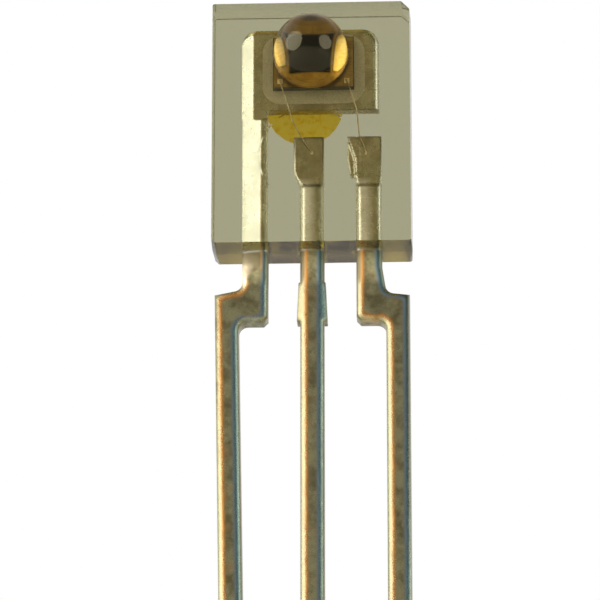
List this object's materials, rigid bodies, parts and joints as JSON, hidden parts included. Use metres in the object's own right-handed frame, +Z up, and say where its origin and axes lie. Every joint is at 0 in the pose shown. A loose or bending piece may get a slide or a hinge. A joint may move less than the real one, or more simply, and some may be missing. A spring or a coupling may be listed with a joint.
{
  "type": "photodetector",
  "caption": "Side-looking photodetector: a chip on a stamped lead frame in a clear resin slab with a small dome lens and straight leads.",
  "frame": {"origin": "middle of the centre lead, at the board surface that the lead shoulders stand on", "axes": "+Z up through the body's top, the leads running down -Z; the lens looks along -Y; +X to the right as the lens side is seen"},
  "size_m": [0.0044, 0.0026, 0.0184],
  "materials": {
    "clear_resin": "clear moulded epoxy, polished mould",
    "yellow_ink": "dried marking ink",
    "plated_lead_frame": "stamped, silver plated and tarnished",
    "silver_glue": "silver-filled epoxy",
    "silicon": "sawn silicon",
    "shield_film": "metal light shield under amber polyimide",
    "diode_coating": "dark anti-reflection coating",
    "chip_metal": "bright evaporated metal",
    "gold_wire": "drawn gold wire"
  },
  "bodies": {
    "root": {"resin_body": "clear_resin", "marking_dot": "yellow_ink", "paddle_lead": "plated_lead_frame", "centre_lead": "plated_lead_frame", "right_lead": "plated_lead_frame", "die_attach": "silver_glue", "detector_die": "silicon", "light_shield": "shield_film", "photodiode_window": "diode_coating", "left_metal_strip": "chip_metal", "right_metal_strip": "chip_metal", "left_bond_pad": "chip_metal", "right_bond_pad": "chip_metal", "centre_bond_wire": "gold_wire", "right_bond_wire": "gold_wire"}
  },
  "joints": []
}
